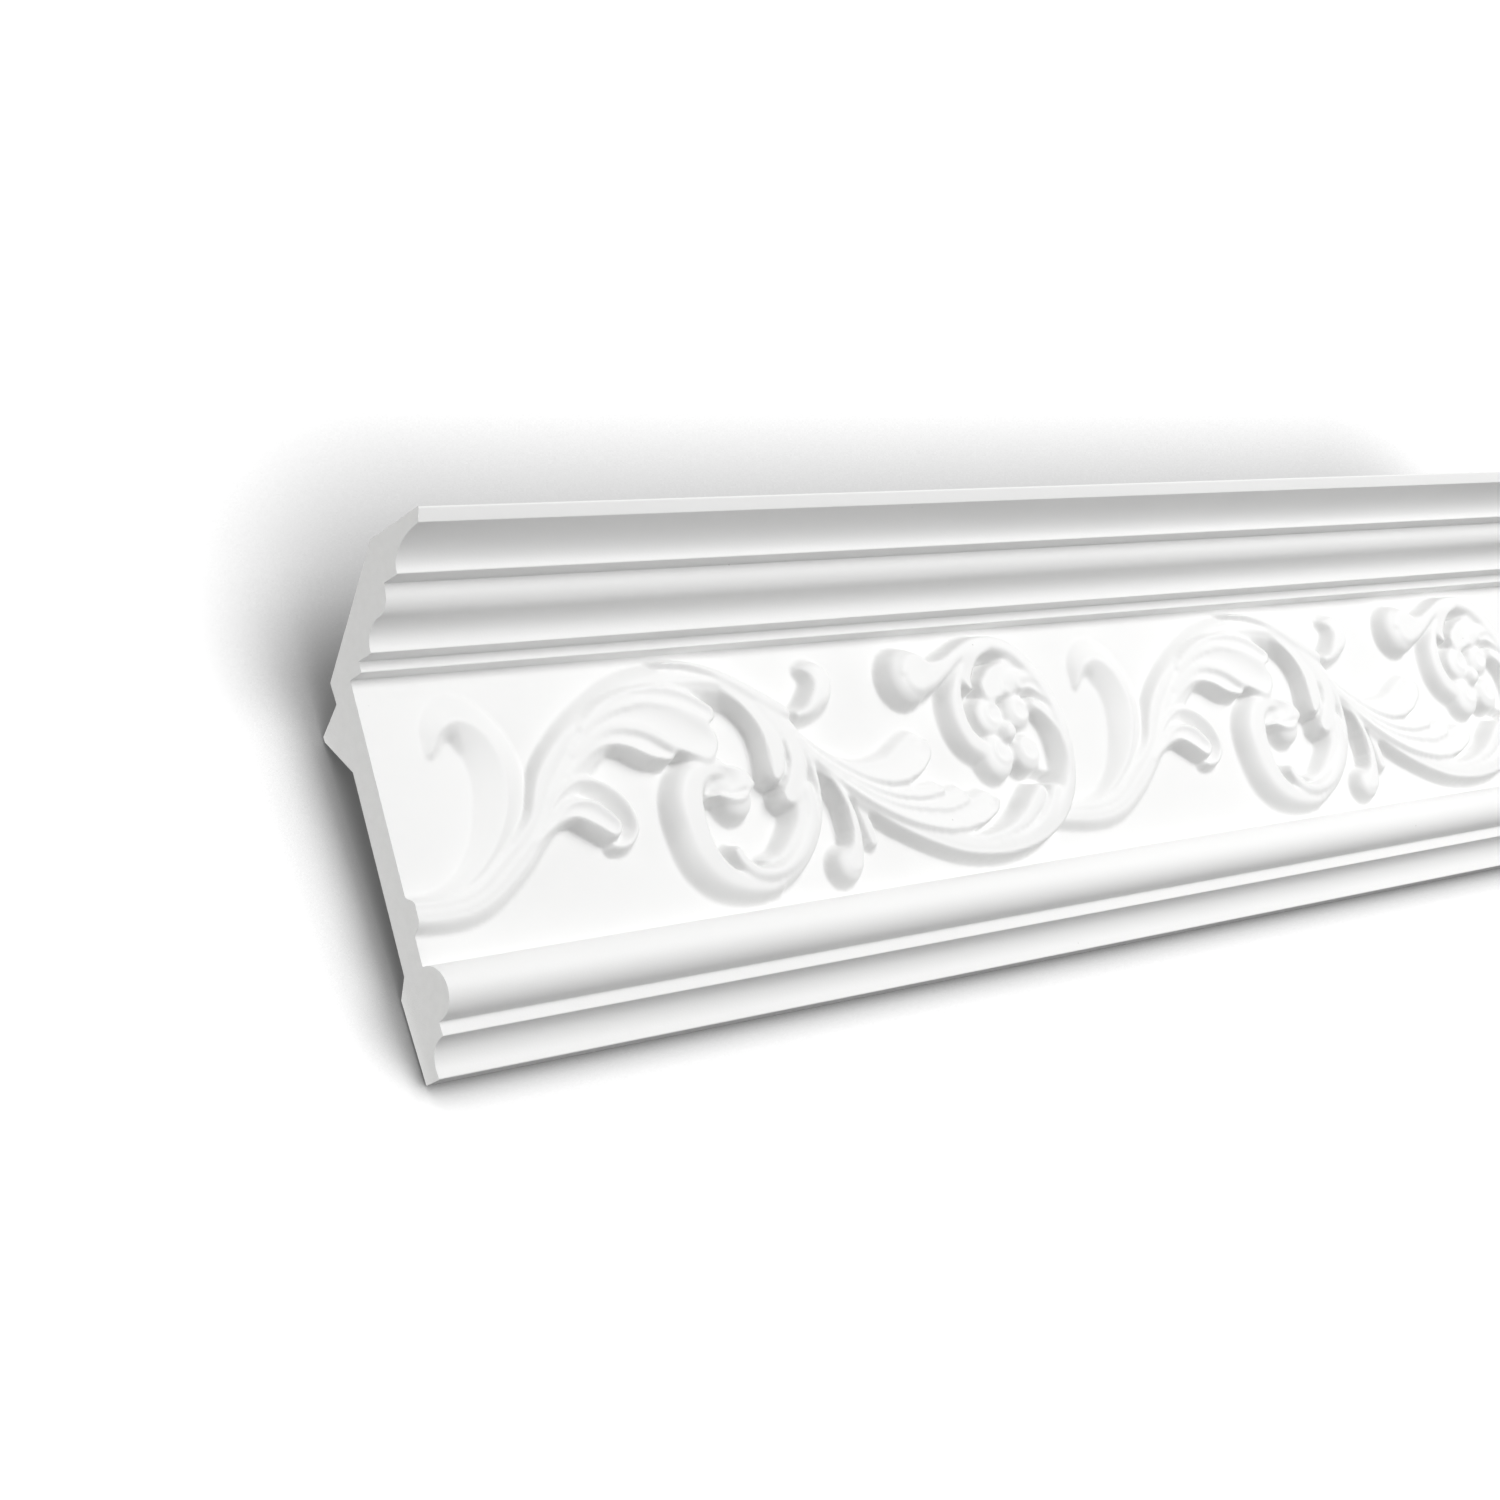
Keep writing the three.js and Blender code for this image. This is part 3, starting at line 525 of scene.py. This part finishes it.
down_axis = (foot - head) / np.hypot(*(foot - head))
out_axis = np.array([down_axis[1], -down_axis[0]])
first, last = (upper[-1] - head) @ down_axis, (lower[0] - head) @ down_axis
rows = np.linspace(first, last, int((last - first) / CELL) + 1)
columns = np.linspace(0, LENGTH, int(LENGTH / CELL) + 1)
along, down = np.meshgrid(columns, rows)
heights = blurred(scroll_heights(along, down))
heights *= ramp(first, first + EDGE_FADE, down) * ramp(-last, EDGE_FADE - last, -down)
print("relief grid", heights.shape, "highest", round(float(heights.max()), 2), "mm")

# %% [markdown]
# ## One closed casting
#
# The straight faces of the profile need only two columns of points. The frieze gets the fine
# grid, and one long polygon above and one below it take up the change. Each end is cut
# square, so it is one flat polygon whose outline follows the carving.

# %% The mesh
def cornice_mesh():
    """Vertices and faces of the whole casting, the two cut ends last.

    A frieze point is head + down * d + out * height at its place along the wall. The other
    profile points are placed once at each end.
    """
    n_rows, n_cols = heights.shape
    yz = head + down[..., None] * down_axis + heights[..., None] * out_axis
    grid = np.concatenate([along[..., None] - LENGTH / 2, yz], axis=2).reshape(-1, 3)
    rest = np.vstack([upper[:-1], lower[1:]])
    ends = [np.column_stack([np.full(len(rest), side), rest]) for side in (-LENGTH / 2, LENGTH / 2)]
    verts = np.vstack([grid, *ends]) * MM
    index = np.arange(n_rows * n_cols).reshape(n_rows, n_cols)
    left = n_rows * n_cols + np.arange(len(rest))
    right = left + len(rest)
    corners = (index[:-1, :-1], index[1:, :-1], index[1:, 1:], index[:-1, 1:])
    faces = np.stack(corners, axis=2).reshape(-1, 4).tolist()
    split = len(upper) - 1
    for first_point in range(len(rest)):
        following = (first_point + 1) % len(rest)
        if following == split:
            continue
        faces.append([left[first_point], left[following], right[following], right[first_point]])
    faces.append([left[split - 1], *index[0], right[split - 1]])
    faces.append([*index[-1, ::-1], left[split], right[split]])
    faces.append([*left[:split][::-1], *left[split:][::-1], *index[::-1, 0]])
    faces.append([*index[:, -1], *right[split:], *right[:split]])
    return verts, faces


verts, faces = cornice_mesh()
mesh = bpy.data.meshes.new("cornice_casting")
mesh.from_pydata(verts.tolist(), [], [[int(v) for v in face] for face in faces])
mesh.validate()
casting = bpy.data.objects.new("cornice_casting", mesh)
bpy.context.scene.collection.objects.link(casting)
mesh.calc_loop_triangles()
print("triangles", len(mesh.loop_triangles))
print("points - edges + faces =", len(mesh.vertices) - len(mesh.edges) + len(mesh.polygons),
      "(2 for one closed body)")

# %% [markdown]
# ## Shading of the mesh
#
# The faces are smooth, and only the saw cuts at the two ends are sharp. Weighted normals let
# the flat faces stay flat right up to their small corner arcs.

# %% Smooth faces and sharp cuts
def smooth_but_for_cuts(obj, tolerance=1e-6):
    """Marks an edge sharp when both its points lie on the same end plane."""
    data = obj.data
    data.shade_smooth()
    place = np.empty(len(data.vertices) * 3)
    data.vertices.foreach_get("co", place)
    x = place.reshape(-1, 3)[:, 0]
    pairs = np.empty(len(data.edges) * 2, dtype=np.int32)
    data.edges.foreach_get("vertices", pairs)
    a, b = x[pairs.reshape(-1, 2)].T
    limit = LENGTH / 2 * MM - tolerance
    cut = ((a > limit) & (b > limit)) | ((a < -limit) & (b < -limit))
    data.attributes.new("sharp_edge", "BOOLEAN", "EDGE").data.foreach_set("value", cut)
    weighted = obj.modifiers.new("weighted_normals", "WEIGHTED_NORMAL")
    weighted.keep_sharp = True
    return int(cut.sum())


print("sharp edges at the cuts", smooth_but_for_cuts(casting))

# %% [markdown]
# ## The grain of the primer
#
# A sprayed primer on cast foam has a fine orange peel, a few pinholes where air bubbles broke
# the skin, and a tone that wanders slowly. All three come out of one group, so a material
# only has to mix them.

# %% A node helper and the grain group
PEEL_PER_METRE, HOLES_PER_METRE, TONE_PER_METRE = 1400.0, 55.0, 9.0
HOLE_FLOOR, HOLE_RIM = 0.008, 0.02


def node(tree, kind, place, inputs=None, **settings):
    """Adds one node, sets its properties and its sockets by name or number."""
    made = tree.nodes.new(kind)
    made.location = place
    for key, value in settings.items():
        setattr(made, key, value)
    for key, value in (inputs or {}).items():
        made.inputs[key].default_value = value
    return made


def surface_grain():
    """Group: orange peel, pinholes and slow tone, all from the object's own coordinates.

    A pinhole is 0.6 strong within HOLE_FLOOR of a cell's centre and fades out at HOLE_RIM,
    both in cell sizes.
    """
    group = bpy.data.node_groups.new("primer_grain", "ShaderNodeTree")
    for name in ("Peel", "Pinholes", "Tone"):
        group.interface.new_socket(name, in_out="OUTPUT", socket_type="NodeSocketFloat")
    where = node(group, "ShaderNodeTexCoord", (-800, 0))
    peel = node(group, "ShaderNodeTexNoise", (-500, 200),
                {"Scale": PEEL_PER_METRE, "Detail": 2.0, "Roughness": 0.55})
    spots = node(group, "ShaderNodeTexVoronoi", (-500, -50),
                 {"Scale": HOLES_PER_METRE, "Randomness": 1.0})
    hole = node(group, "ShaderNodeMapRange", (-250, -50),
                {"From Min": HOLE_FLOOR, "From Max": HOLE_RIM, "To Min": 0.6, "To Max": 0.0})
    slow = node(group, "ShaderNodeTexNoise", (-500, -350),
                {"Scale": TONE_PER_METRE, "Detail": 3.0, "Roughness": 0.5})
    out = node(group, "NodeGroupOutput", (50, 0))
    for texture in (peel, spots, slow):
        group.links.new(where.outputs["Object"], texture.inputs["Vector"])
    group.links.new(spots.outputs["Distance"], hole.inputs["Value"])
    group.links.new(peel.outputs["Fac"], out.inputs["Peel"])
    group.links.new(hole.outputs["Result"], out.inputs["Pinholes"])
    group.links.new(slow.outputs["Fac"], out.inputs["Tone"])
    return group


grain_group = surface_grain()
print("the grain puts out", [item.name for item in grain_group.interface.items_tree])

# %% [markdown]
# ## Primer
#
# The casting is hard polyurethane foam with a matt white primer. The slow tone moves its
# colour between two near whites. A pinhole is painted darker, as painted shade in its pit, and
# in the bump it is sunk well below the peel.

# %% The primer
PINHOLE_BUMP = -3.0


def primer_material():
    """White primer: tone and painted pinhole shade in the colour, peel and pinholes in the bump."""
    material = bpy.data.materials.new("white_primer")
    material.use_nodes = True
    tree = material.node_tree
    shader = tree.nodes["Principled BSDF"]
    shader.inputs["Roughness"].default_value = 0.55
    shader.inputs["Specular IOR Level"].default_value = 0.35
    grain = node(tree, "ShaderNodeGroup", (-700, 0), node_tree=grain_group)
    tone = node(tree, "ShaderNodeMix", (-450, 200), data_type="RGBA")
    tone.inputs["A"].default_value = (0.86, 0.86, 0.855, 1)
    tone.inputs["B"].default_value = (0.90, 0.90, 0.895, 1)
    # Painted shade: each pinhole's colour is pulled towards a dark grey.
    pinhole_shade = node(tree, "ShaderNodeMix", (-250, 200), data_type="RGBA")
    pinhole_shade.inputs["B"].default_value = (0.45, 0.44, 0.43, 1)
    depth = node(tree, "ShaderNodeMath", (-450, -150), {1: PINHOLE_BUMP}, operation="MULTIPLY")
    total = node(tree, "ShaderNodeMath", (-280, -150), operation="ADD")
    bump = node(tree, "ShaderNodeBump", (-120, -150), {"Strength": 0.12, "Distance": 0.0002})
    tree.links.new(grain.outputs["Tone"], tone.inputs["Factor"])
    tree.links.new(tone.outputs["Result"], pinhole_shade.inputs["A"])
    tree.links.new(grain.outputs["Pinholes"], pinhole_shade.inputs["Factor"])
    tree.links.new(pinhole_shade.outputs["Result"], shader.inputs["Base Color"])
    tree.links.new(grain.outputs["Pinholes"], depth.inputs[0])
    tree.links.new(depth.outputs[0], total.inputs[0])
    tree.links.new(grain.outputs["Peel"], total.inputs[1])
    tree.links.new(total.outputs[0], bump.inputs["Height"])
    tree.links.new(bump.outputs["Normal"], shader.inputs["Normal"])
    return material


mesh.materials.append(primer_material())
print("primer nodes", len(mesh.materials[0].node_tree.nodes))

# %% [markdown]
# ## Cut foam
#
# Where the saw went through, the bare foam shows: a little greyer, and full of tiny cells.
# The two cut ends are the last two faces of the mesh, so only those get it.

# %% The cut foam
CELLS_PER_METRE, MOTTLE_PER_METRE = 2600.0, 350.0


def foam_material():
    """Cut foam: cells of about four tenths of a millimetre, and a fine mottle."""
    material = bpy.data.materials.new("cut_foam")
    material.use_nodes = True
    tree = material.node_tree
    shader = tree.nodes["Principled BSDF"]
    shader.inputs["Roughness"].default_value = 0.8
    shader.inputs["Specular IOR Level"].default_value = 0.2
    where = node(tree, "ShaderNodeTexCoord", (-800, 0))
    cells = node(tree, "ShaderNodeTexVoronoi", (-600, 0), {"Scale": CELLS_PER_METRE})
    mottle = node(tree, "ShaderNodeTexNoise", (-600, 250), {"Scale": MOTTLE_PER_METRE, "Detail": 4.0})
    tone = node(tree, "ShaderNodeMix", (-300, 200), data_type="RGBA")
    tone.inputs["A"].default_value = (0.77, 0.77, 0.76, 1)
    tone.inputs["B"].default_value = (0.84, 0.84, 0.83, 1)
    bump = node(tree, "ShaderNodeBump", (-300, -100), {"Strength": 0.25, "Distance": 0.0002})
    tree.links.new(where.outputs["Object"], cells.inputs["Vector"])
    tree.links.new(where.outputs["Object"], mottle.inputs["Vector"])
    tree.links.new(mottle.outputs["Fac"], tone.inputs["Factor"])
    tree.links.new(tone.outputs["Result"], shader.inputs["Base Color"])
    tree.links.new(cells.outputs["Distance"], bump.inputs["Height"])
    tree.links.new(bump.outputs["Normal"], shader.inputs["Normal"])
    return material


mesh.materials.append(foam_material())
slots = np.zeros(len(mesh.polygons), dtype=np.int32)
slots[-2:] = 1
mesh.polygons.foreach_set("material_index", slots)
print("faces of cut foam", int(slots.sum()))

# %% [markdown]
# ## Glow and painted shadow of the stage
#
# The moulding is fixed to a pale wall, over a pale floor. The photograph is so bright that
# only the shade close to the moulding is left of them. The paint therefore glows by itself, as
# painted light, and the glow weakens near the moulding, which ambient occlusion measures: that
# is a painted shadow.

# %% Stage glow and painted shadow
CLEAR_WITHIN = 0.03
SHADE_POWER = 3.0


def glow_with_painted_shadow(name, level, glow, shade_reach):
    """Matt paint with a painted glow that looks overexposed, and a painted shadow where something
    stands within shade_reach.

    The glow is glow * openness ^ SHADE_POWER. It is for the camera alone, so it doesn't light
    the moulding. The paint is clear from behind, so that the back of the part can be seen,
    and clear to rays shorter than CLEAR_WITHIN metres, so that light reaches that back
    through the wall.
    """
    material = bpy.data.materials.new(name)
    material.use_nodes = True
    tree = material.node_tree
    shader = tree.nodes["Principled BSDF"]
    shader.inputs["Base Color"].default_value = (level, level, level, 1)
    shader.inputs["Roughness"].default_value = 0.9
    shader.inputs["Specular IOR Level"].default_value = 0.0
    shader.inputs["Emission Color"].default_value = (1, 1, 1, 1)
    # Painted shadow: ambient occlusion dims the painted glow near the moulding.
    open_sky = node(tree, "ShaderNodeAmbientOcclusion", (-500, -200), {"Distance": shade_reach},
                    samples=8)
    curve = node(tree, "ShaderNodeMath", (-320, -200), {1: SHADE_POWER}, operation="POWER")
    seen = node(tree, "ShaderNodeLightPath", (-500, -400))
    lit = node(tree, "ShaderNodeMath", (-240, -300), {1: glow}, operation="MULTIPLY")
    strength = node(tree, "ShaderNodeMath", (-160, -200), operation="MULTIPLY")
    tree.links.new(open_sky.outputs["AO"], curve.inputs[0])
    tree.links.new(seen.outputs["Is Camera Ray"], lit.inputs[0])
    tree.links.new(lit.outputs[0], strength.inputs[1])
    tree.links.new(curve.outputs[0], strength.inputs[0])
    tree.links.new(strength.outputs[0], shader.inputs["Emission Strength"])
    clear = node(tree, "ShaderNodeBsdfTransparent", (0, -300))
    facing = node(tree, "ShaderNodeNewGeometry", (0, 300))
    mix = node(tree, "ShaderNodeMixShader", (250, 0))
    close = node(tree, "ShaderNodeMath", (0, 150), {1: CLEAR_WITHIN}, operation="LESS_THAN")
    see_through = node(tree, "ShaderNodeMath", (150, 200), operation="MAXIMUM")
    tree.links.new(seen.outputs["Ray Length"], close.inputs[0])
    tree.links.new(facing.outputs["Backfacing"], see_through.inputs[0])
    tree.links.new(close.outputs[0], see_through.inputs[1])
    tree.links.new(see_through.outputs[0], mix.inputs["Fac"])
    tree.links.new(shader.outputs["BSDF"], mix.inputs[1])
    tree.links.new(clear.outputs["BSDF"], mix.inputs[2])
    tree.links.new(mix.outputs["Shader"], tree.nodes["Material Output"].inputs["Surface"])
    return material


wall_glow_painted_shadow = glow_with_painted_shadow("wall_glow_painted_shadow", level=0.3, glow=0.95, shade_reach=0.09)
floor_glow_painted_shadow = glow_with_painted_shadow("floor_glow_painted_shadow", level=0.4, glow=0.6, shade_reach=0.05)
print("paints", wall_glow_painted_shadow.name, "and", floor_glow_painted_shadow.name)

# %% [markdown]
# ## Wall and floor
#
# Each of the two is one flat sheet, far larger than the picture. The wall stands a millimetre
# behind the moulding, so that they don't share a plane.

# %% Wall and floor, in metres
SHEET_SIZE = 8.0
WALL_GAP = 0.001
FLOOR_LEVEL = -0.45


def stage_plane(name, place, turn, paint):
    """A large flat sheet, turned about X and painted."""
    sheet = bpy.data.meshes.new(name)
    half = SHEET_SIZE / 2
    corners = [(-half, -half, 0), (half, -half, 0), (half, half, 0), (-half, half, 0)]
    sheet.from_pydata(corners, [], [(0, 1, 2, 3)])
    sheet.materials.append(paint)
    obj = bpy.data.objects.new(name, sheet)
    obj.matrix_world = Matrix.Translation(place) @ Matrix.Rotation(turn, 4, "X")
    bpy.context.scene.collection.objects.link(obj)
    return obj


wall = stage_plane("wall", (0, WALL_GAP, 0), math.radians(90), wall_glow_painted_shadow)
floor = stage_plane("floor", (0, 0, FLOOR_LEVEL), 0.0, floor_glow_painted_shadow)
print("stage", wall.name, "and", floor.name)

# %% [markdown]
# ## Lights
#
# A broad light in front, to the right and a little above models the carving, and a weaker one
# fills from the left. A stronger fill would flatten the carving, so a small light beside the
# wall brightens the near cut instead. The white world keeps the shadows open.

# %% World and lights
MIDDLE = (0, -0.03, 0.06)
NEAR_CUT = (-0.3, -0.025, 0.05)


def soft_light(name, place, aim, size, watts):
    """A square area light that faces its aim."""
    lamp = bpy.data.lights.new(name, "AREA")
    lamp.size = size
    lamp.energy = watts
    obj = bpy.data.objects.new(name, lamp)
    obj.location = place
    direction = np.asarray(aim, float) - np.asarray(place, float)
    obj.rotation_euler = Vector(direction).to_track_quat("-Z", "Y").to_euler()
    bpy.context.scene.collection.objects.link(obj)
    return obj


world = bpy.data.worlds.new("white_studio")
world.use_nodes = True
world.node_tree.nodes["Background"].inputs["Color"].default_value = (1, 1, 1, 1)
world.node_tree.nodes["Background"].inputs["Strength"].default_value = 0.42
bpy.context.scene.world = world
bpy.context.scene.view_settings.view_transform = "Standard"

lights = [soft_light("key", (0.6, -1.85, 0.42), MIDDLE, size=1.2, watts=31.0),
          soft_light("fill", (-1.9, -0.15, 0.15), MIDDLE, size=0.8, watts=9.0),
          soft_light("cut_end", (-0.8, -0.005, 0.05), NEAR_CUT, size=0.06, watts=0.8)]
print("lights", [light.name for light in lights])

# %% [markdown]
# ## Hand over
#
# The casting takes the place of the plain solid and rides on the same body.

# %% Finish
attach(casting, "root")
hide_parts("cornice_moulding")
